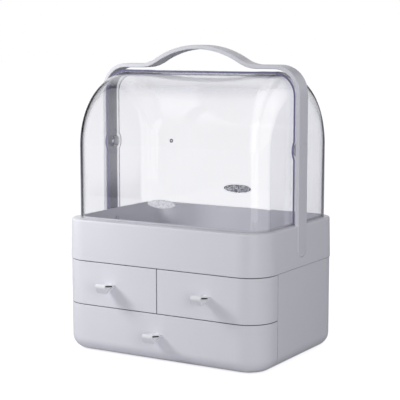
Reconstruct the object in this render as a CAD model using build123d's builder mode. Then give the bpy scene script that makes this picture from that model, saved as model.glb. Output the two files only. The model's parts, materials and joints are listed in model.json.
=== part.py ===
from build123d import *
from math import asin, atan2, cos, hypot, radians, sin
import os

# Makeup box: a drawer cabinet under a tray, two clear covers that swing on side pins, and an arched handle.
# Millimetres, +Z up, the front faces -Y. The origin is on the ground, under the middle of the whole outline.

# Driving sizes of the tray, which sets the outline of the box
tray_width = 271.2
tray_depth = 199.2
tray_corner = 32.4
tray_draft = 1.2
tray_rim_z = 158.3
tray_skirt_z = 110.7
tray_floor_rise = 7.1
tray_wall = 2.4
tray_floor_thickness = 2.5
rim_thickness = 3.0
rim_round = 2.0
well_round = 5.0
lip_height = 2.0
lip_width = 1.8

# Driving sizes of the cabinet
cabinet_inset = 0.7
cabinet_wall = 2.8
cabinet_floor = 2.5
cabinet_seam_gap = 0.6
bottom_round = 16.0
side_seam_from_front = 40.6
deck_below_split = 1.4
deck_thickness = 2.2
ledge_width = 3.0
ledge_height = 2.4
flange_width = 8.5
flange_thickness = 2.2
partition_thickness = 3.0
partition_groove = 0.8
partition_gap = 0.2

# Driving sizes of the drawers
front_split_z = 57.7
split_gap = 0.8
middle_gap = 1.0
seam_gap = 0.5
front_seam_gap = 1.0
front_edge_round = 0.6
box_wall = 2.0
box_side_gap = 0.6
box_rear_gap = 3.0
box_front_gap = 0.3
runner_height = 1.0
runner_width = 4.0
runner_gap = 0.3
lower_runner_from_wall = 35.0
upper_runner_spacing = 88.0
lower_box_headroom = 1.6
upper_box_headroom = 3.6
upper_box_round = 5.0
upper_box_inner_corner = 4.0

# Driving sizes of the pulls
pull_width = 13.0
pull_wall = 1.1
pull_pocket = 1.2
pull_neck_radius = 1.2
pull_nose = (18.0, 1.2, 3.0)
pull_chin = (15.6, -3.9, 2.6)
pull_stem_radius = 3.0
pull_stem_clearance = 0.1
pull_screw_head_radius = 4.3
pull_upper_x = 64.3
pull_upper_z = 84.3
pull_lower_z = 33.3
strip_skin = 1.3
strip_thickness = 1.4
strip_start = 5.0
strip_length = 12.0
strip_inset = 0.3

# Driving sizes of the handle
handle_thickness = 5.0
handle_width = 22.0
handle_over_cover = 2.5
handle_corner = 33.0
hump_height = 22.3
hump_half_width = 80.0
hump_radius = 112.0
handle_edge_round = 1.2
tongue_depth = 37.0
tongue_gap = 0.3

# Driving sizes of the covers
cover_wall = 2.2
cover_ledge = 10.6
cover_corner = 27.0
cover_arm_gap = 0.7
cover_nest_gap = 0.8
cover_seat_gap = 0.4
cover_overlap = 10.5
cover_lip_gap = 0.5
ear_radius = 14.5
pivot_z = 243.8
grip_width = 38.0
grip_height = 10.0
grip_z = 182.8
grip_stand = 1.8
grip_round = 1.0

# Driving sizes of the pins, screws and feet
pin_radius = 4.0
pin_running_gap = 0.05
pin_cap_radius = 7.5
pin_cap_thickness = 1.5
pin_cap_gap = 0.3
retainer_radius = 7.0
retainer_thickness = 2.0
retainer_gap = 0.3
retainer_bevel = 0.6
screw_radius = 1.25
screw_head_radius = 2.8
screw_head_thickness = 1.6
screw_clearance = 0.25
screw_fit = 0.05
post_radius = 4.0
post_screw_grip = 10.0
post_from_front = 56.9
post_from_rear = 36.9
handle_screws_above_tip = (9.0, 26.0)
handle_screw_skin = 1.0
handle_block_half_width = 14.0
foot_radius = 7.0
foot_thickness = 2.0
foot_recess = 1.0
foot_from_side = 36.9
foot_from_end = 28.9

# Cuts run this far past the faces that they open, and edges nearer than the tolerance count as on a plane
overshoot = 1.0
tolerance = 0.01

# Sizes that follow from the driving ones
tray_floor_z = tray_skirt_z + tray_floor_rise
cabinet_seat_z = tray_skirt_z - cabinet_seam_gap
front_top_z = tray_skirt_z - front_seam_gap
deck_bottom_z = front_split_z - deck_below_split
lower_box_top_z = deck_bottom_z - ledge_height - lower_box_headroom
upper_box_top_z = cabinet_seat_z - flange_thickness - upper_box_headroom
cabinet_width = tray_width - 2 * cabinet_inset
cabinet_depth = tray_depth - 2 * cabinet_inset
cabinet_corner = tray_corner - cabinet_inset
inner_width = cabinet_width - 2 * cabinet_wall
inner_depth = cabinet_depth - 2 * cabinet_wall
inner_corner = cabinet_corner - cabinet_wall
shell_bottom_z = foot_thickness - foot_recess
floor_top_z = shell_bottom_z + cabinet_floor
inner_bottom_round = bottom_round - cabinet_wall
front_y = -cabinet_depth / 2
side_seam_y = front_y + side_seam_from_front
deck_top_z = deck_bottom_z + deck_thickness
pull_reach = pull_nose[0] + pull_nose[2]
mid_y = (tray_depth / 2 - (cabinet_depth / 2 + pull_reach)) / -2
handle_half_span = tray_width / 2
arm_inner_x = handle_half_span - handle_thickness
cover_radius = tray_depth / 2 - cover_ledge
handle_top_z = pivot_z + cover_radius + handle_over_cover + handle_thickness
tongue_tip_z = tray_rim_z - tongue_depth
handle_screw_z = [tongue_tip_z + rise for rise in handle_screws_above_tip]
rear_half = arm_inner_x - cover_arm_gap
cover_step = cover_wall + cover_nest_gap
front_half = rear_half - cover_step
front_radius = cover_radius - cover_step
front_corner = cover_corner - cover_step
cover_bottom_z = tray_rim_z + cover_seat_gap
lip_half_x = front_half - cover_wall - cover_lip_gap
lip_half_y = front_radius - cover_wall - cover_lip_gap
lip_corner = front_corner - cover_wall - cover_lip_gap
well_half_x = lip_half_x - lip_width
well_half_y = lip_half_y - lip_width
well_corner = lip_corner - lip_width
rim_shrink = (tray_rim_z - tray_skirt_z) * sin(radians(tray_draft)) / cos(radians(tray_draft))
skirt_inner_x = tray_width / 2 - rim_shrink - tray_wall
skirt_inner_y = tray_depth / 2 - rim_shrink - tray_wall
skirt_inner_corner = tray_corner - rim_shrink - tray_wall
post_x = (skirt_inner_x + well_half_x + tray_wall) / 2
post_front_y = post_from_front - cabinet_depth / 2
post_rear_y = cabinet_depth / 2 - post_from_rear
post_places = [(side * post_x, y) for side in (-1, 1) for y in (post_front_y, post_rear_y)]
foot_x = cabinet_width / 2 - foot_from_side
foot_y = cabinet_depth / 2 - foot_from_end


def level(z):
    """Horizontal plane at height z over the middle of the cabinet."""
    return Plane(origin=(0, mid_y, z))


def upright(y):
    """Plane across the box, facing the front, y behind the middle of the cabinet."""
    return Plane(origin=(0, mid_y + y, 0), x_dir=(1, 0, 0), z_dir=(0, -1, 0))


def profile(x):
    """Plane along the box, facing +X, with the rear to the right."""
    return Plane(origin=(x, mid_y, 0), x_dir=(0, 1, 0), z_dir=(1, 0, 0))


def keep(builder, name):
    """Label the finished piece and write it."""
    builder.part.label = name
    export_step(builder.part, f"parts/{name}.step")


def tub(width, depth, corner, low, high, edge_round):
    """Block with a rounded plan and a rounded bottom edge."""
    with BuildPart() as block:
        with BuildSketch(level(low)):
            RectangleRounded(width, depth, corner)
        extrude(amount=high - low)
        fillet(block.edges().group_by(Axis.Z)[0], edge_round)
    return block.part


os.makedirs("parts", exist_ok=True)

# Case: the outer block less the inner one is shared by the cabinet and the drawer fronts
case_outer = tub(cabinet_width, cabinet_depth, cabinet_corner, shell_bottom_z, tray_rim_z, bottom_round)
case_inner = tub(
    inner_width, inner_depth, inner_corner, floor_top_z, tray_rim_z + overshoot, inner_bottom_round
)
front_zone_depth = side_seam_from_front + tray_corner
tongue_inset = bottom_round + overshoot

with BuildPart() as cabinet_shell:
    add(case_outer)
    add(case_inner, mode=Mode.SUBTRACT)
    with BuildSketch(level(cabinet_seat_z)):
        Rectangle(tray_width, tray_depth)
    extrude(amount=tray_rim_z, mode=Mode.SUBTRACT)
    with BuildSketch(level(cabinet_seat_z - flange_thickness)):
        RectangleRounded(inner_width, inner_depth, inner_corner)
        offset(amount=-flange_width, mode=Mode.SUBTRACT)
    extrude(amount=flange_thickness)
    with BuildSketch(level(deck_bottom_z - ledge_height)):
        RectangleRounded(inner_width, inner_depth, inner_corner)
        offset(amount=-ledge_width, mode=Mode.SUBTRACT)
    extrude(amount=ledge_height)
    with BuildSketch(level(cabinet_seat_z - flange_thickness)):
        Rectangle(partition_thickness + 2 * partition_gap, inner_depth)
    extrude(amount=flange_thickness, mode=Mode.SUBTRACT)
    with BuildSketch(level(0)):
        with Locations((0, side_seam_y + seam_gap / 2 - front_zone_depth / 2)):
            Rectangle(tray_width, front_zone_depth)
    extrude(amount=tray_rim_z, mode=Mode.SUBTRACT)
    with BuildSketch(level(shell_bottom_z)):
        RectangleRounded(
            cabinet_width - 2 * tongue_inset,
            cabinet_depth - 2 * tongue_inset,
            cabinet_corner - tongue_inset,
        )
    extrude(amount=cabinet_floor)
    with BuildSketch(level(floor_top_z)):
        with GridLocations(inner_width - 2 * lower_runner_from_wall, 0, 2, 1):
            Rectangle(runner_width, inner_depth - 2 * tongue_inset)
    extrude(amount=runner_height)
    with BuildSketch(level(shell_bottom_z)):
        with GridLocations(2 * foot_x, 2 * foot_y, 2, 2):
            Circle(foot_radius)
    extrude(amount=foot_recess, mode=Mode.SUBTRACT)
    with BuildSketch(level(cabinet_seat_z - flange_thickness)):
        with Locations(*post_places):
            Circle(screw_radius + screw_clearance)
    extrude(amount=flange_thickness, mode=Mode.SUBTRACT)
keep(cabinet_shell, "cabinet_shell")

with BuildPart() as rubber_feet:
    with BuildSketch(level(0)):
        with GridLocations(2 * foot_x, 2 * foot_y, 2, 2):
            Circle(foot_radius)
    extrude(amount=foot_thickness)
keep(rubber_feet, "rubber_feet")

with BuildPart() as middle_deck:
    with BuildSketch(level(deck_bottom_z)):
        RectangleRounded(
            inner_width - 2 * box_side_gap, inner_depth - 2 * box_side_gap, inner_corner - box_side_gap
        )
    extrude(amount=deck_thickness)
    with BuildSketch(level(deck_top_z)):
        with GridLocations(inner_width / 2, 0, 2, 1):
            with GridLocations(upper_runner_spacing, 0, 2, 1):
                Rectangle(runner_width, inner_depth - 2 * inner_corner)
    extrude(amount=runner_height)
    with BuildSketch(level(deck_top_z - partition_groove)):
        Rectangle(partition_thickness, inner_depth)
    extrude(amount=partition_groove, mode=Mode.SUBTRACT)
keep(middle_deck, "middle_deck")

with BuildPart() as centre_partition:
    with BuildSketch(level(deck_top_z - partition_groove)):
        Rectangle(partition_thickness, inner_depth - 2 * box_side_gap)
    extrude(amount=tray_floor_z - tray_floor_thickness - deck_top_z + partition_groove)
keep(centre_partition, "centre_partition")

# Tray: a tapered skirt, a ledge that carries the covers, and a well with a lip around it
with BuildPart() as tray:
    with BuildSketch(level(tray_skirt_z)):
        RectangleRounded(tray_width, tray_depth, tray_corner)
    extrude(amount=tray_rim_z - tray_skirt_z, taper=tray_draft)
    fillet(tray.edges().group_by(Axis.Z)[-1], rim_round)
    with BuildSketch(level(tray_skirt_z)):
        RectangleRounded(2 * skirt_inner_x, 2 * skirt_inner_y, skirt_inner_corner)
    extrude(amount=tray_floor_z - tray_floor_thickness - tray_skirt_z, mode=Mode.SUBTRACT)
    with BuildSketch(level(tray_skirt_z)):
        RectangleRounded(2 * skirt_inner_x, 2 * skirt_inner_y, skirt_inner_corner)
        RectangleRounded(
            2 * (well_half_x + tray_wall),
            2 * (well_half_y + tray_wall),
            well_corner + tray_wall,
            mode=Mode.SUBTRACT,
        )
    extrude(amount=tray_rim_z - rim_thickness - tray_skirt_z, mode=Mode.SUBTRACT)
    with BuildSketch(level(tray_rim_z)):
        RectangleRounded(2 * lip_half_x, 2 * lip_half_y, lip_corner)
    extrude(amount=lip_height)
    add(
        tub(2 * well_half_x, 2 * well_half_y, well_corner, tray_floor_z, tray_rim_z + lip_height, well_round),
        mode=Mode.SUBTRACT,
    )
    with BuildSketch(level(cabinet_seat_z)):
        with Locations(*post_places):
            Circle(post_radius)
    extrude(amount=tray_rim_z - rim_thickness - cabinet_seat_z)
    with BuildSketch(level(tray_skirt_z)):
        for side in (-1, 1):
            with Locations((side * (arm_inner_x + well_half_x + tray_wall) / 2, 0)):
                Rectangle(arm_inner_x - well_half_x - tray_wall + overshoot, 2 * handle_block_half_width)
    extrude(amount=tray_rim_z - rim_thickness - tray_skirt_z)
    with BuildSketch(level(cabinet_seat_z)):
        with Locations(*post_places):
            Circle(screw_radius + screw_fit)
    extrude(amount=post_screw_grip + overshoot, mode=Mode.SUBTRACT)
    for side in (-1, 1):
        with BuildSketch(profile(side * (arm_inner_x + tray_corner / 2))):
            with Locations((0, tongue_tip_z + handle_width / 2)):
                Circle(handle_width / 2 + tongue_gap)
            with Locations((0, (tongue_tip_z + handle_width / 2 + tray_rim_z + lip_height) / 2)):
                Rectangle(
                    handle_width + 2 * tongue_gap,
                    tray_rim_z + lip_height - tongue_tip_z - handle_width / 2,
                )
        extrude(amount=tray_corner / 2, both=True, mode=Mode.SUBTRACT)
        with BuildSketch(profile(side * (well_half_x - overshoot))):
            with Locations(*[(0, z) for z in handle_screw_z]):
                Circle(screw_radius + screw_clearance)
        extrude(amount=side * (arm_inner_x - well_half_x + 2 * overshoot), mode=Mode.SUBTRACT)
keep(tray, "tray")

with BuildPart() as tray_screws:
    with BuildSketch(level(cabinet_seat_z - flange_thickness)):
        with Locations(*post_places):
            Circle(screw_head_radius)
    extrude(amount=-screw_head_thickness)
    with BuildSketch(level(cabinet_seat_z - flange_thickness)):
        with Locations(*post_places):
            Circle(screw_radius)
    extrude(amount=flange_thickness + post_screw_grip)
keep(tray_screws, "tray_screws")

# Handle: one band, down both sides and over the top, with a raised arch for the hand
hump_sum = (hump_half_width**2 + hump_height**2) / (2 * hump_height)
hollow_radius = hump_sum - hump_radius
hump_slope = asin(hump_half_width / hump_sum)
hump_centre_z = handle_top_z + hump_height - hump_radius
hollow_centre_z = handle_top_z + hollow_radius
arm_end_z = tongue_tip_z + handle_width / 2


def band_line(drop):
    """Right half of the band's outline in the X-Z plane, drop inside the outer face."""
    crest = hump_radius - drop
    hollow = hollow_radius + drop
    corner = handle_corner - drop
    side_x = handle_half_span - drop
    top_z = handle_top_z - drop
    with BuildLine() as line:
        RadiusArc(
            (0, hump_centre_z + crest),
            (crest * sin(hump_slope), hump_centre_z + crest * cos(hump_slope)),
            crest,
        )
        RadiusArc(
            (hump_half_width - hollow * sin(hump_slope), hollow_centre_z - hollow * cos(hump_slope)),
            (hump_half_width, top_z),
            -hollow,
        )
        Line((hump_half_width, top_z), (handle_half_span - handle_corner, top_z))
        RadiusArc(
            (handle_half_span - handle_corner, top_z), (side_x, handle_top_z - handle_corner), corner
        )
        Line((side_x, handle_top_z - handle_corner), (side_x, arm_end_z))
    return line.line


with BuildPart() as handle_band:
    with BuildSketch(upright(0)):
        with BuildLine():
            add(band_line(0).edges())
            add(band_line(handle_thickness).edges())
            Line(
                (handle_half_span, arm_end_z),
                (arm_inner_x, arm_end_z),
            )
            Line(
                (0, handle_top_z + hump_height - handle_thickness),
                (0, handle_top_z + hump_height),
            )
        make_face()
    extrude(amount=handle_width / 2, both=True)
    with BuildSketch(profile(arm_inner_x)):
        with Locations((0, arm_end_z)):
            Circle(handle_width / 2)
    extrude(amount=handle_thickness)
    mirror(about=Plane.YZ)
    band_sides = handle_band.edges().filter_by(
        lambda edge: abs(edge.center().Y - mid_y) > handle_width / 2 - tolerance
        and edge.length > handle_thickness + overshoot
    )
    tongue_rims = handle_band.edges().filter_by(
        lambda edge: edge.center().Z < arm_end_z and edge.length > handle_thickness + overshoot
    )
    fillet(band_sides + tongue_rims, handle_edge_round)
    for side in (-1, 1):
        with BuildSketch(profile(side * arm_inner_x)):
            with Locations((0, pivot_z)):
                Circle(pin_radius + pin_running_gap)
        extrude(amount=side * handle_thickness, mode=Mode.SUBTRACT)
        with BuildSketch(profile(side * (handle_half_span - pin_cap_thickness))):
            with Locations((0, pivot_z)):
                Circle(pin_cap_radius + pin_cap_gap)
        extrude(amount=side * pin_cap_thickness, mode=Mode.SUBTRACT)
        with BuildSketch(profile(side * arm_inner_x)):
            with Locations(*[(0, z) for z in handle_screw_z]):
                Circle(screw_radius + screw_fit)
        extrude(amount=side * (handle_thickness - handle_screw_skin), mode=Mode.SUBTRACT)
keep(handle_band, "handle_band")

with BuildPart() as handle_screws:
    for side in (-1, 1):
        with BuildSketch(profile(side * well_half_x)):
            with Locations(*[(0, z) for z in handle_screw_z]):
                Circle(screw_head_radius)
        extrude(amount=-side * screw_head_thickness)
        with BuildSketch(profile(side * well_half_x)):
            with Locations(*[(0, z) for z in handle_screw_z]):
                Circle(screw_radius)
        extrude(amount=side * (handle_half_span - handle_screw_skin - well_half_x))
keep(handle_screws, "handle_screws")

# Pins: each has a flush cap in the arm, and a retainer on its inner end
pin_end_x = front_half - cover_wall - retainer_gap - retainer_thickness
for side, hand in ((-1, "left"), (1, "right")):
    with BuildPart() as pivot_pin:
        with BuildSketch(profile(side * handle_half_span)):
            with Locations((0, pivot_z)):
                Circle(pin_cap_radius)
        extrude(amount=-side * pin_cap_thickness)
        with BuildSketch(profile(side * handle_half_span)):
            with Locations((0, pivot_z)):
                Circle(pin_radius)
        extrude(amount=-side * (handle_half_span - pin_end_x))
    keep(pivot_pin, f"{hand}_pivot_pin")
    with BuildPart() as pin_retainer:
        with BuildSketch(profile(side * pin_end_x)):
            with Locations((0, pivot_z)):
                Circle(retainer_radius)
                Circle(pin_radius + pin_running_gap, mode=Mode.SUBTRACT)
        extrude(amount=side * retainer_thickness)
        chamfer(pin_retainer.edges().filter_by(GeomType.CIRCLE).sort_by(SortBy.RADIUS)[-2:], retainer_bevel)
    keep(pin_retainer, f"{hand}_pin_retainer")


# Covers: a rounded drum turned about the pin axis, over straight walls
def bell(half, radius, corner, low):
    """Closed bell of a cover's outer or inner face."""
    with BuildPart() as shape:
        with BuildSketch(level(low)):
            RectangleRounded(2 * half, 2 * radius, corner)
        extrude(amount=pivot_z - low)
        with BuildSketch(level(pivot_z)):
            RectangleRounded(2 * half, 2 * radius, corner)
            with Locations((0, radius)):
                Rectangle(2 * half, 2 * radius, mode=Mode.SUBTRACT)
        revolve(axis=Axis((0, mid_y, pivot_z), (-1, 0, 0)), revolution_arc=180)
    return shape.part


for facing, name, half, radius, corner in (
    (-1, "front_cover", front_half, front_radius, front_corner),
    (1, "rear_cover", rear_half, cover_radius, cover_corner),
):
    outer = bell(half, radius, corner, cover_bottom_z)
    inner = bell(half - cover_wall, radius - cover_wall, corner - cover_wall, cover_bottom_z - overshoot)
    with BuildPart() as cover:
        add(outer)
        add(inner, mode=Mode.SUBTRACT)
        with BuildSketch(level(0)):
            with Locations((0, -facing * (cover_overlap + radius))):
                Rectangle(4 * half, 2 * radius)
        extrude(amount=pivot_z + 2 * radius, mode=Mode.SUBTRACT)
        with BuildSketch(profile(0)):
            with Locations((-facing * cover_overlap, cover_bottom_z)):
                Rectangle(2 * cover_overlap, 2 * cover_wall)
            with Locations((0, pivot_z)):
                Circle(pivot_z - cover_bottom_z, mode=Mode.SUBTRACT)
        extrude(amount=2 * half, both=True, mode=Mode.SUBTRACT)
        for side in (-1, 1):
            with BuildSketch(profile(side * half)):
                with Locations((0, pivot_z)):
                    Circle(ear_radius)
            extrude(amount=-side * cover_wall)
        with BuildSketch(profile(0)):
            with Locations((0, pivot_z)):
                Circle(pin_radius + pin_running_gap)
        extrude(amount=2 * half, both=True, mode=Mode.SUBTRACT)
        with BuildSketch(upright(facing * radius)):
            with Locations((0, grip_z)):
                Ellipse(grip_width / 2, grip_height / 2)
        extrude(amount=-facing * grip_stand)
        grip_rims = cover.edges().filter_by(GeomType.ELLIPSE).sort_by(Axis.Y)
        fillet(grip_rims[0 if facing < 0 else -1], grip_round)
    keep(cover, name)

# Drawers: each is a front that wraps the corner, an open box, a pull, its bright strip and its screw
nose_u, nose_z, nose_radius = pull_nose
chin_u, chin_z, chin_radius = pull_chin
roof_angle = atan2(nose_z, nose_u) + asin((nose_radius - pull_neck_radius) / hypot(nose_u, nose_z))
roof_along = Vector(-cos(roof_angle), sin(roof_angle))
roof_up = Vector(sin(roof_angle), cos(roof_angle))
strip_drop = pull_neck_radius - strip_skin - strip_thickness
box_length = inner_depth - box_front_gap - box_rear_gap
box_shift = (box_front_gap - box_rear_gap) / 2
stem_length = cabinet_wall + box_front_gap + box_wall - screw_clearance


def pull_outline(x, z, wall):
    """Side outline of a pull whose neck meets the front at height z, a wall's thickness inside its skin."""
    with BuildSketch(profile(x)) as outline:
        for out, up, radius in ((0, 0, pull_neck_radius), pull_nose, pull_chin):
            with Locations((front_y - out, z + up)):
                Circle(radius)
        make_hull()
        offset(amount=-wall, mode=Mode.REPLACE)
    return outline.sketch


def strip_outline(x, z):
    """Side outline of the bright strip, which lies under the skin of the pull's top."""
    low = Vector(front_y, z) + roof_up * strip_drop + roof_along * strip_start
    with BuildSketch(profile(x)) as outline:
        with BuildLine():
            Polyline(
                low,
                low + roof_along * strip_length,
                low + roof_along * strip_length + roof_up * strip_thickness,
                low + roof_up * strip_thickness,
                close=True,
            )
        make_face()
    return outline.sketch


for name, low_x, high_x, pull_x, pull_z, low_z, high_z, box_low_z, box_top_z, box_round in (
    (
        "left", -tray_width, -middle_gap / 2, -pull_upper_x, pull_upper_z,
        front_split_z + split_gap / 2, front_top_z,
        deck_top_z + runner_height + runner_gap, upper_box_top_z, upper_box_round,
    ),
    (
        "right", middle_gap / 2, tray_width, pull_upper_x, pull_upper_z,
        front_split_z + split_gap / 2, front_top_z,
        deck_top_z + runner_height + runner_gap, upper_box_top_z, upper_box_round,
    ),
    (
        "lower", -tray_width, tray_width, 0, pull_lower_z,
        0, front_split_z - split_gap / 2,
        floor_top_z + runner_height + runner_gap, lower_box_top_z, inner_bottom_round,
    ),
):
    with BuildPart() as front:
        add(case_outer)
        add(case_inner, mode=Mode.SUBTRACT)
        with BuildSketch(level(low_z)):
            with Locations(((low_x + high_x) / 2, side_seam_y - seam_gap / 2 - front_zone_depth / 2)):
                Rectangle(high_x - low_x, front_zone_depth)
        extrude(amount=high_z - low_z, mode=Mode.INTERSECT)
        outer_rims = front.edges().filter_by(
            lambda edge: edge.distance_to(case_inner) > cabinet_wall - front_edge_round / 2
            and (
                abs(edge.center().Z - high_z) < tolerance
                or abs(edge.center().Z - low_z) < tolerance
                or abs(edge.center().Y - mid_y - side_seam_y + seam_gap / 2) < tolerance
                or abs(abs(edge.center().X) - middle_gap / 2) < tolerance
            )
        )
        fillet(outer_rims, front_edge_round)
        with BuildSketch(level(0)):
            RectangleRounded(
                cabinet_width - 2 * bottom_round,
                cabinet_depth - 2 * bottom_round,
                cabinet_corner - bottom_round,
            )
        extrude(amount=floor_top_z, mode=Mode.SUBTRACT)
        with BuildSketch(upright(0)):
            with Locations((pull_x, pull_z)):
                Circle(pull_stem_radius + pull_stem_clearance)
        extrude(amount=tray_depth, mode=Mode.SUBTRACT)
    keep(front, f"{name}_drawer_front")

    with BuildPart() as box:
        with BuildSketch(level(box_low_z)) as outline:
            with Locations((0, box_shift)):
                RectangleRounded(inner_width - 2 * box_side_gap, box_length, inner_corner - box_side_gap)
            if name != "lower":
                side = -1 if name == "left" else 1
                edge_x = partition_thickness / 2 + box_side_gap
                with Locations((side * (edge_x + tray_width / 2), 0)):
                    Rectangle(tray_width, tray_depth, mode=Mode.INTERSECT)
                middle_corners = outline.vertices().sort_by(lambda v: abs(v.X))[:2]
                fillet(middle_corners, upper_box_inner_corner)
        extrude(amount=box_top_z - box_low_z)
        fillet(box.edges().group_by(Axis.Z)[0], box_round)
        offset(amount=-box_wall, openings=box.faces().sort_by(Axis.Z)[-1])
        with BuildSketch(upright(0)):
            with Locations((pull_x, pull_z)):
                Circle(pull_stem_radius + pull_stem_clearance)
        extrude(amount=tray_depth, mode=Mode.SUBTRACT)
    keep(box, f"{name}_drawer_box")

    with BuildPart() as pull:
        extrude(pull_outline(pull_x, pull_z, 0), amount=pull_width / 2, both=True)
        for side in (-1, 1):
            pocket = pull_outline(pull_x + side * pull_width / 2, pull_z, pull_wall)
            extrude(pocket, amount=-side * pull_pocket, mode=Mode.SUBTRACT)
        extrude(strip_outline(pull_x, pull_z), amount=pull_width / 2, both=True, mode=Mode.SUBTRACT)
        with BuildSketch(upright(front_y)):
            with Locations((pull_x, pull_z)):
                Rectangle(2 * pull_width, 2 * pull_width)
        extrude(amount=-pull_neck_radius, mode=Mode.SUBTRACT)
        with BuildSketch(upright(front_y)):
            with Locations((pull_x, pull_z)):
                Circle(pull_stem_radius)
        extrude(amount=-stem_length)
        with BuildSketch(upright(front_y + stem_length)):
            with Locations((pull_x, pull_z)):
                Circle(screw_radius + screw_fit)
        extrude(amount=stem_length - screw_clearance, mode=Mode.SUBTRACT)
    keep(pull, f"{name}_pull")

    with BuildPart() as strip:
        extrude(strip_outline(pull_x, pull_z), amount=pull_width / 2 - strip_inset, both=True)
    keep(strip, f"{name}_pull_strip")

    with BuildPart() as pull_screw:
        head_y = front_y + cabinet_wall + box_front_gap + box_wall
        with BuildSketch(upright(head_y)):
            with Locations((pull_x, pull_z)):
                Circle(pull_screw_head_radius)
        extrude(amount=-screw_head_thickness)
        with BuildSketch(upright(head_y)):
            with Locations((pull_x, pull_z)):
                Circle(screw_radius)
        extrude(amount=stem_length - 2 * screw_clearance)
    keep(pull_screw, f"{name}_pull_screw")
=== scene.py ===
import json
import math

import bpy
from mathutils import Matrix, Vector


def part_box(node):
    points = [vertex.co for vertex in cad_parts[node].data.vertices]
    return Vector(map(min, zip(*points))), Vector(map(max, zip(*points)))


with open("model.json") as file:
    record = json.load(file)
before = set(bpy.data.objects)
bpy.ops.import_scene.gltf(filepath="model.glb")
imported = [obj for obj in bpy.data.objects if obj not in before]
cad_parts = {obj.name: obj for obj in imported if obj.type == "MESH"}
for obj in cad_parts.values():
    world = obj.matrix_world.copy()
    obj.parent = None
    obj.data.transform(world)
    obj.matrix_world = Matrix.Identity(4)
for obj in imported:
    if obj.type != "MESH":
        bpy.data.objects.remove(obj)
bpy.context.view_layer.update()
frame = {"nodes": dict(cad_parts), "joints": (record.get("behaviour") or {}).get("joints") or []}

MM = 0.001
nodes = frame["nodes"]
DRAWERS = ("left", "right", "lower")

# Moulded skin: its pebble, the slow drift of its tint, and how shut in a face has to be before painted shade darkens it
PEBBLE = 0.9 * MM
PEBBLE_DEPTH = 0.015 * MM
TINT_DRIFT = 45 * MM
SEAM_REACH = 3 * MM
SEAM_SHUT = 0.15
SEAM_OPEN = 0.5

# Clear styrene: its waviness, and the slants at which a wall's colour is painted grey and then dark (painted shade)
WAVE = 30 * MM
WAVE_DEPTH = 0.4 * MM
STYRENE_IOR = 1.5
ASKANCE = (0.33, 0.5)
RIM = (0.52, 0.8)
CLEAR_ROUGHNESS = 0.02

# The covers: which way each faces, the axis of the pins, and the shape of their cut edges and grips
COVER_NAMES = {-1: "front_cover", 1: "rear_cover"}
PIVOT = Vector(next(joint["pos_m"] for joint in frame["joints"] if joint["name"] == "front_cover_hinge"))
COVER_OVERLAP = 10.5 * MM
EAR_RADIUS = 14.5 * MM
EDGE_REACH = 0.05 * MM
EDGE_SHARE = {-1: 0.25, 1: 0.9}
EDGE_ROUGHNESS = 0.2
EDGE_CLEARNESS = 0.3
GRIP_STAND = 1.8 * MM
SPECK = 2.2 * MM
SPECK_DEPTH = 0.2 * MM
FROST_ROUGHNESS = 0.5
FROST_CLEARNESS = 0.2

# The ring that the mould's gate left on the front cover
GATE_MARK = Vector((12 * MM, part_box("front_cover")[0].y + GRIP_STAND, PIVOT.z + 12 * MM))
GATE_RADIUS = 1.8 * MM
GATE_WIDTH = 0.6 * MM

# The photograph's camera: a long lens, from the front right and a little above
CAMERA_PLACE = Vector((0.7530, -1.24225, 0.3676))
CAMERA_LOOK = Vector((-0.5118, 0.8494, -0.1286))
CAMERA_LENS_MM = 110.7
SENSOR_MM = 36.0
SIGHT = 20.0

# The surround: a soft light, a floor, and a sweep with a dark room beside it and a paler wall at its far right
AMBIENT = 0.402
FLOOR_REACH = 60.0
FLOOR_LIFT = 0.82
SWEEP_INNER = math.radians(10)
SWEEP_OUTER = math.radians(24)
ROOM = 0.02
RIGHT_WALL = 0.8
RIGHT_WALL_FROM = 0.45
RIGHT_WALL_TO = 0.6

# Lamps: a near soft box at the upper left front, a large one at the front right, and a card for the covers to
# mirror
KEY_PLACE = (-0.36, -0.30, 0.38)
KEY_TARGET = (0, 0, 0.12)
KEY_SIZE = 0.16
KEY_WATTS = 1.42
FILL_PLACE = (0.9, -0.9, 0.35)
FILL_TARGET = (0, 0, 0.15)
FILL_SIZE = 0.6
FILL_WATTS = 3.46
CARD_PLACE = (0.9, -0.9, 0.60)
CARD_WIDTH = 0.75
CARD_HEIGHT = 1.20
CARD_WATTS = 4.2


def srgb(hex_colour, alpha=1.0):
    """A colour written as sRGB hex, as linear numbers."""
    values = [int(hex_colour[i:i + 2], 16) / 255 for i in (1, 3, 5)]
    linear = [v / 12.92 if v <= 0.04045 else ((v + 0.055) / 1.055) ** 2.4 for v in values]
    return (*linear, alpha)


def node(tree, kind, settings=None, inputs=None):
    """Add a shader node. settings are its own properties; inputs are values, or sockets to link from."""
    added = tree.nodes.new(kind)
    for name, value in (settings or {}).items():
        setattr(added, name, value)
    for name, value in (inputs or {}).items():
        if isinstance(value, bpy.types.NodeSocket):
            tree.links.new(value, added.inputs[name])
        else:
            added.inputs[name].default_value = value
    return added


def maths(tree, operation, *values, clamp=False):
    """A sum on one or two numbers."""
    settings = {"operation": operation, "use_clamp": clamp}
    return node(tree, "ShaderNodeMath", settings, dict(enumerate(values))).outputs[0]


def vector_maths(tree, operation, *vectors):
    """A sum on one or two vectors. It gives a number for a length, a distance or a dot product."""
    added = node(tree, "ShaderNodeVectorMath", {"operation": operation}, dict(enumerate(vectors)))
    is_number = operation in ("LENGTH", "DISTANCE", "DOT_PRODUCT")
    return added.outputs["Value" if is_number else "Vector"]


def near(tree, value, target, reach):
    """1 where value is within reach of target."""
    return maths(tree, "COMPARE", value, target, reach)


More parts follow.
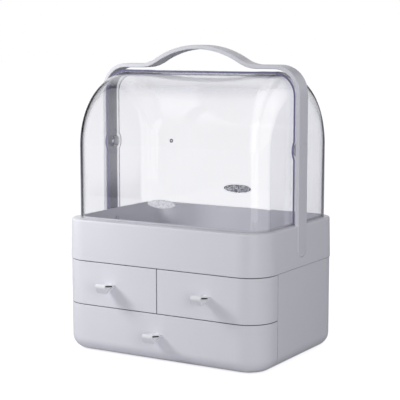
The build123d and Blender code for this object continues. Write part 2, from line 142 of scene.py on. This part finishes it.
def rising(tree, value, low, high, top=1.0, smooth=True):
    """A number that goes from 0 to top as value goes from low to high."""
    settings = {"interpolation_type": "SMOOTHSTEP" if smooth else "LINEAR"}
    return node(tree, "ShaderNodeMapRange", settings, {
        "Value": value, "From Min": low, "From Max": high, "To Max": top,
    }).outputs["Result"]


def between(tree, share, at_none, at_full):
    """A number that goes from at_none to at_full as share goes from 0 to 1."""
    return node(tree, "ShaderNodeMapRange", None, {
        "Value": share, "To Min": at_none, "To Max": at_full,
    }).outputs["Result"]


def blend(tree, share, at_none, at_full):
    """A colour that goes from at_none to at_full as share goes from 0 to 1."""
    return node(tree, "ShaderNodeMix", {"data_type": "RGBA"}, {
        "Factor": share, "A": at_none, "B": at_full,
    }).outputs["Result"]


def object_place(tree):
    """Where a point lies on its own piece, in metres."""
    return node(tree, "ShaderNodeTexCoord").outputs["Object"]


def noise(tree, place, size, detail, roughness=0.5):
    """A cloudy pattern whose largest blots measure about size."""
    return node(tree, "ShaderNodeTexNoise", None, {
        "Vector": place, "Scale": 1 / size, "Detail": detail, "Roughness": roughness,
    }).outputs["Fac"]


def bump(tree, height, strength, depth, **inputs):
    """A fine relief that follows height."""
    return node(tree, "ShaderNodeBump", None, {
        "Height": height, "Strength": strength, "Distance": depth, **inputs,
    }).outputs["Normal"]


def undiffused(tree):
    """1 for a ray that has met only clear or mirroring faces since it left the camera."""
    return maths(tree, "LESS_THAN", node(tree, "ShaderNodeLightPath").outputs["Diffuse Depth"], 0.5)


def new_material(name):
    """An empty material with its output node."""
    material = bpy.data.materials.new(name)
    material.use_nodes = True
    tree = material.node_tree
    tree.nodes.clear()
    return material, tree, node(tree, "ShaderNodeOutputMaterial")


def moulded_abs(name, colour, roughness, paints_seam_shade=False):
    """Injection-moulded ABS: an opaque, faintly cool white with a satin, very slightly pebbled skin.

    Where the seam shade is asked for, faces that have another face within SEAM_REACH are painted darker: painted shade
    in the seams and between parts. That brings the upright seams nearer to the photograph's and the level ones further
    from it. It follows the pose in a render, but a bake keeps it as it is at rest, also on faces that show once a
    drawer is open."""
    material, tree, output = new_material(name)
    place = object_place(tree)
    pebble = noise(tree, place, PEBBLE, 3.0, 0.55)
    tint = blend(tree, noise(tree, place, TINT_DRIFT, 2.0), srgb(colour[0]), srgb(colour[1]))
    if paints_seam_shade:
        # Painted shade: an ambient-occlusion test darkens the base colour towards charcoal in seams and between parts.
        openness = node(tree, "ShaderNodeAmbientOcclusion", {"samples": 8}, {"Distance": SEAM_REACH})
        unshaded = rising(tree, openness.outputs["AO"], SEAM_SHUT, SEAM_OPEN)
        tint = blend(tree, unshaded, srgb("#1C1C20"), tint)
    skin = node(tree, "ShaderNodeBsdfPrincipled", None, {
        "Base Color": tint, "Roughness": between(tree, pebble, roughness - 0.05, roughness + 0.05),
        "Normal": bump(tree, pebble, 0.25, PEBBLE_DEPTH), "IOR": 1.52, "Specular IOR Level": 0.5,
    })
    tree.links.new(skin.outputs["BSDF"], output.inputs["Surface"])
    return material


def cover_finish(tree, place, face, facing, colour, normal):
    """What a cover has beyond its clear wall: its colour, roughness, clearness and normal.

    The violet cut edges are painted light: their colour stands in for light that ran along inside the wall and comes
    out there, more so on the rear cover. The finger grip is spark-eroded, so it is frosted, its specks painted darker
    where it is seen from inside the wall (painted shade), and on the front cover the mould's gate left a small ring."""
    from_pin = vector_maths(tree, "SUBTRACT", place, PIVOT)
    distance = vector_maths(tree, "LENGTH", vector_maths(tree, "MULTIPLY", from_pin, (0, 1, 1)))
    along = node(tree, "ShaderNodeSeparateXYZ", None, {"Vector": from_pin}).outputs["Y"]
    at_edge = maths(
        tree, "MAXIMUM",
        near(tree, along, -facing * COVER_OVERLAP, EDGE_REACH), near(tree, distance, EAR_RADIUS, EDGE_REACH)
    )
    edge = maths(tree, "MULTIPLY", at_edge, EDGE_SHARE[facing])

    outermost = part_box(COVER_NAMES[facing])[max(facing, 0)].y
    wall_face = facing * (outermost - PIVOT.y) - GRIP_STAND
    on_grip = maths(tree, "GREATER_THAN", maths(tree, "MULTIPLY", along, facing), wall_face + EDGE_REACH)
    at_gate = near(tree, vector_maths(tree, "DISTANCE", place, GATE_MARK), GATE_RADIUS, GATE_WIDTH)
    frost = maths(tree, "MAXIMUM", on_grip, at_gate)

    speck = noise(tree, place, SPECK, 3.0, 0.6)
    # Painted shade: the frost's specks are painted far darker where a grip is seen from inside its wall than from
    # outside.
    frost_speck_and_shade = blend(
        tree, rising(tree, speck, 0.4, 0.6, smooth=False),
        blend(tree, face.outputs["Backfacing"], srgb("#D8D8DF"), srgb("#46464E")),
        blend(tree, face.outputs["Backfacing"], srgb("#F4F4F8"), srgb("#F0F0F6")),
    )
    # Painted light: the violet of the cut edges stands in for light that ran along inside the wall, more on the rear
    # cover.
    colour = blend(tree, edge, colour, srgb("#8484B4"))
    colour = blend(tree, frost, colour, frost_speck_and_shade)
    colour = blend(tree, at_gate, colour, srgb("#5A5A64"))
    edge_roughness = between(tree, edge, CLEAR_ROUGHNESS, EDGE_ROUGHNESS)
    roughness = between(tree, frost, edge_roughness, FROST_ROUGHNESS)
    edge_clearness = between(tree, edge, 1.0, EDGE_CLEARNESS)
    clearness = between(tree, frost, edge_clearness, FROST_CLEARNESS)
    normal = bump(tree, speck, between(tree, frost, 0.0, 0.6), SPECK_DEPTH, Normal=normal)
    return colour, roughness, clearness, normal


def clear_styrene(name, facing=0):
    """Polished clear styrene: sharp gloss over a faintly lilac body.

    Real walls come out paler at a slant than the photograph's, so the colour is painted grey there, and dark at the rim
    of upright faces, for rays that have met no matt face. This grey and dark are painted shade.

    facing is -1 for the front cover, 1 for the rear cover and 0 for a plain piece."""
    material, tree, output = new_material(name)
    place = object_place(tree)
    face = node(tree, "ShaderNodeNewGeometry")
    slant = node(tree, "ShaderNodeLayerWeight", None, {"Blend": 0.5}).outputs["Facing"]
    # Painted shade: the wall's colour is greyed at a slant and darkened at the rim of upright faces.
    painted_slant_grey = rising(tree, slant, *ASKANCE, top=undiffused(tree), smooth=False)
    height = node(tree, "ShaderNodeSeparateXYZ", None, {"Vector": face.outputs["Normal"]}).outputs["Z"]
    upright = maths(tree, "SUBTRACT", undiffused(tree), maths(tree, "ABSOLUTE", height), clamp=True)
    painted_rim_shade = rising(tree, slant, *RIM, top=upright)
    colour = blend(tree, painted_slant_grey, srgb("#FFFFFF"), srgb("#E2E2E7"))
    colour = blend(tree, painted_rim_shade, colour, srgb("#505058"))
    roughness, clearness = CLEAR_ROUGHNESS, 1.0
    normal = bump(tree, noise(tree, place, WAVE, 1.0), 0.2, WAVE_DEPTH)
    if facing:
        colour, roughness, clearness, normal = cover_finish(tree, place, face, facing, colour, normal)
    wall = node(tree, "ShaderNodeBsdfPrincipled", None, {
        "Base Color": colour, "Roughness": roughness, "Transmission Weight": clearness, "Normal": normal,
        "IOR": STYRENE_IOR,
    })
    light_path = node(tree, "ShaderNodeLightPath")
    open_wall = node(tree, "ShaderNodeBsdfTransparent", None, {"Color": srgb("#FBFBFD")})
    lit_through = node(tree, "ShaderNodeMixShader", None, {
        0: light_path.outputs["Is Shadow Ray"], 1: wall.outputs["BSDF"], 2: open_wall.outputs["BSDF"],
    })
    tree.links.new(lit_through.outputs["Shader"], output.inputs["Surface"])
    depth = node(tree, "ShaderNodeVolumeAbsorption", None, {"Color": srgb("#D2D2DF"), "Density": 16.0})
    tree.links.new(depth.outputs["Volume"], output.inputs["Volume"])
    return material


def dark_mirror_strip(name):
    """A dark mirror metal with faint lengthwise brushing, on the strip under each pull's top wall."""
    material, tree, output = new_material(name)
    stretch = node(tree, "ShaderNodeMapping", None, {"Vector": object_place(tree), "Scale": (1.0, 12.0, 12.0)})
    brushing = noise(tree, stretch.outputs["Vector"], 4 * MM, 2.0)
    metal = node(tree, "ShaderNodeBsdfPrincipled", None, {
        "Base Color": srgb("#2A2A2E"), "Metallic": 1.0, "Roughness": between(tree, brushing, 0.12, 0.25),
    })
    tree.links.new(metal.outputs["BSDF"], output.inputs["Surface"])
    return material


def zinc_plated_steel(name):
    """Zinc-plated steel screws: bright grey metal with a soft, slightly mottled shine."""
    material, tree, output = new_material(name)
    mottle = noise(tree, object_place(tree), 0.8 * MM, 2.0)
    metal = node(tree, "ShaderNodeBsdfPrincipled", None, {
        "Base Color": srgb("#C9CACD"), "Metallic": 1.0, "Roughness": between(tree, mottle, 0.25, 0.4),
    })
    tree.links.new(metal.outputs["BSDF"], output.inputs["Surface"])
    return material


def foot_rubber(name):
    """Moulded rubber pads: matt, mid grey, finely speckled."""
    material, tree, output = new_material(name)
    speck = noise(tree, object_place(tree), 0.5 * MM, 2.0)
    skin = node(tree, "ShaderNodeBsdfPrincipled", None, {
        "Base Color": blend(tree, speck, srgb("#8A8A8C"), srgb("#9C9C9E")), "Roughness": 0.85,
        "Normal": bump(tree, speck, 0.4, 0.05 * MM),
    })
    tree.links.new(skin.outputs["BSDF"], output.inputs["Surface"])
    return material


def dress(material, *names):
    """Give CAD nodes their material."""
    for name in names:
        slots = nodes[name].data.materials
        slots.clear()
        slots.append(material)


tray_white = moulded_abs("moulded_abs_tray", ("#E6E6EC", "#E9E9EE"), 0.42)
case_white = moulded_abs("moulded_abs_case", ("#E6E6EC", "#E9E9EE"), 0.42, paints_seam_shade=True)
front_white = moulded_abs("moulded_abs_fronts", ("#E8E8EE", "#EBEBF0"), 0.40, paints_seam_shade=True)
box_white = moulded_abs("moulded_abs_boxes", ("#E4E4EA", "#E8E8ED"), 0.45)
handle_white = moulded_abs("moulded_abs_handle", ("#E2E2E8", "#E6E6EB"), 0.38)
pull_white = moulded_abs("moulded_abs_pulls", ("#F2F2F6", "#F5F5F8"), 0.3)

dress(tray_white, "tray")
dress(case_white, "cabinet_shell", "middle_deck", "centre_partition")
dress(handle_white, "handle_band", "left_pivot_pin", "right_pivot_pin")
for facing, cover in COVER_NAMES.items():
    dress(clear_styrene(f"clear_styrene_{cover}", facing), cover)
dress(clear_styrene("clear_styrene_retainers"), "left_pin_retainer", "right_pin_retainer")
dress(foot_rubber("moulded_rubber_feet"), "rubber_feet")
dress(front_white, *[f"{drawer}_drawer_front" for drawer in DRAWERS])
dress(box_white, *[f"{drawer}_drawer_box" for drawer in DRAWERS])
dress(pull_white, *[f"{drawer}_pull" for drawer in DRAWERS])
dress(dark_mirror_strip("dark_mirror_strip"), *[f"{drawer}_pull_strip" for drawer in DRAWERS])
dress(
    zinc_plated_steel("zinc_plated_screws"),
    "tray_screws", "handle_screws", *[f"{drawer}_pull_screw" for drawer in DRAWERS]
)


def place_camera():
    """The photograph's viewing angle and framing."""
    lens = bpy.data.cameras.new("camera")
    lens.lens = CAMERA_LENS_MM
    lens.sensor_width = SENSOR_MM
    lens.clip_end = SIGHT
    camera = bpy.data.objects.new("camera", lens)
    bpy.context.scene.collection.objects.link(camera)
    camera.location = CAMERA_PLACE
    camera.rotation_euler = CAMERA_LOOK.to_track_quat("-Z", "Y").to_euler()
    bpy.context.scene.camera = camera


def sweep_seen(tree, direction, *kinds):
    """How much of the white sweep and of the dark room beside it a ray sees: two shares.

    Left and right are those of the photograph's camera, from whatever side the object is looked at.

    The sweep hangs behind the object and comes forward under it, so it ends only to the left and right. The camera
    sees nothing else, and neither do rays that come straight through the covers. Rays of these kinds that a cover
    has turned back, outside or within its wall, also see the dark room. Both shares are 0 for any ray that has met
    a matt face."""
    aside = CAMERA_LOOK.cross(Vector((0, 0, 1))).normalized()
    sideways = vector_maths(tree, "DOT_PRODUCT", direction, aside)
    beside = rising(
        tree, maths(tree, "ABSOLUTE", sideways), math.sin(SWEEP_INNER), math.sin(SWEEP_OUTER), top=1.0 - ROOM
    )
    pale_wall = rising(tree, sideways, RIGHT_WALL_FROM, RIGHT_WALL_TO, top=RIGHT_WALL)
    dark = maths(tree, "SUBTRACT", beside, pale_wall)
    light_path = node(tree, "ShaderNodeLightPath")
    wanted = light_path.outputs[kinds[0]]
    for kind in kinds[1:]:
        wanted = maths(tree, "MAXIMUM", wanted, light_path.outputs[kind])
    clear_way = maths(tree, "MULTIPLY", wanted, undiffused(tree))
    turned = maths(tree, "GREATER_THAN", light_path.outputs["Glossy Depth"], 0.5)
    off = maths(tree, "MULTIPLY", maths(tree, "MULTIPLY", clear_way, turned), dark)
    on = maths(tree, "MAXIMUM", maths(tree, "SUBTRACT", clear_way, off), light_path.outputs["Is Camera Ray"])
    return on, off


def pale_floor():
    """A grey floor that keeps the object's shadow, lifted to white where it is seen directly or through a cover."""
    corners = [(x * FLOOR_REACH, y * FLOOR_REACH, 0) for x, y in ((-1, -1), (1, -1), (1, 1), (-1, 1))]
    mesh = bpy.data.meshes.new("floor")
    mesh.from_pydata(corners, [], [(0, 1, 2, 3)])
    floor = bpy.data.objects.new("floor", mesh)
    bpy.context.scene.collection.objects.link(floor)
    material, tree, output = new_material("pale_floor")
    from_camera = vector_maths(tree, "SUBTRACT", object_place(tree), CAMERA_PLACE)
    on, off = sweep_seen(tree, vector_maths(tree, "NORMALIZE", from_camera), "Is Transmission Ray")
    paper = node(tree, "ShaderNodeBsdfDiffuse", None, {
        "Color": blend(tree, off, srgb("#CCCCD0"), srgb("#000000")),
    })
    glow = node(tree, "ShaderNodeEmission", None, {
        "Color": (1, 1, 1, 1), "Strength": maths(tree, "MULTIPLY", on, FLOOR_LIFT),
    })
    both = node(tree, "ShaderNodeAddShader", None, {0: paper.outputs["BSDF"], 1: glow.outputs["Emission"]})
    tree.links.new(both.outputs["Shader"], output.inputs["Surface"])
    mesh.materials.append(material)


def studio_world():
    """A white sweep behind the object with a dark room beside it, and a soft cool grey to light it by."""
    world = bpy.data.worlds.new("studio")
    bpy.context.scene.world = world
    world.use_nodes = True
    tree = world.node_tree
    tree.nodes.clear()
    place = node(tree, "ShaderNodeTexCoord")
    on, _ = sweep_seen(tree, place.outputs["Generated"], "Is Glossy Ray", "Is Transmission Ray")
    sweep = node(tree, "ShaderNodeBackground", None, {"Color": (1, 1, 1, 1), "Strength": on})
    soft = node(tree, "ShaderNodeBackground", None, {"Color": srgb("#F8F8FF"), "Strength": AMBIENT})
    mixed = node(tree, "ShaderNodeMixShader", None, {
        0: maths(tree, "GREATER_THAN", on, 0.0), 1: soft.outputs["Background"], 2: sweep.outputs["Background"],
    })
    output = node(tree, "ShaderNodeOutputWorld")
    tree.links.new(mixed.outputs["Shader"], output.inputs["Surface"])


def soft_lamp(name, place, target, size, watts):
    """A square soft box that points at the object and isn't seen itself."""
    lamp = bpy.data.lights.new(name, "AREA")
    lamp.shape = "SQUARE"
    lamp.size = size
    lamp.energy = watts
    holder = bpy.data.objects.new(name, lamp)
    bpy.context.scene.collection.objects.link(holder)
    holder.location = place
    holder.rotation_euler = (Vector(target) - Vector(place)).to_track_quat("-Z", "Y").to_euler()
    holder.visible_camera = False
    holder.visible_glossy = False
    holder.visible_transmission = False
    return holder


def mirrored_card():
    """A tall white card at the front right, which the covers mirror as an upright streak. It gives no diffuse light."""
    holder = soft_lamp("card", CARD_PLACE, (0, 0, CARD_PLACE[2]), CARD_WIDTH, CARD_WATTS)
    holder.data.shape = "RECTANGLE"
    holder.data.size_y = CARD_HEIGHT
    holder.visible_glossy = True
    holder.visible_diffuse = False


place_camera()
pale_floor()
studio_world()
soft_lamp("key", KEY_PLACE, KEY_TARGET, KEY_SIZE, KEY_WATTS)
soft_lamp("fill", FILL_PLACE, FILL_TARGET, FILL_SIZE, FILL_WATTS)
mirrored_card()

scene = bpy.context.scene
scene.view_settings.view_transform = "Standard"
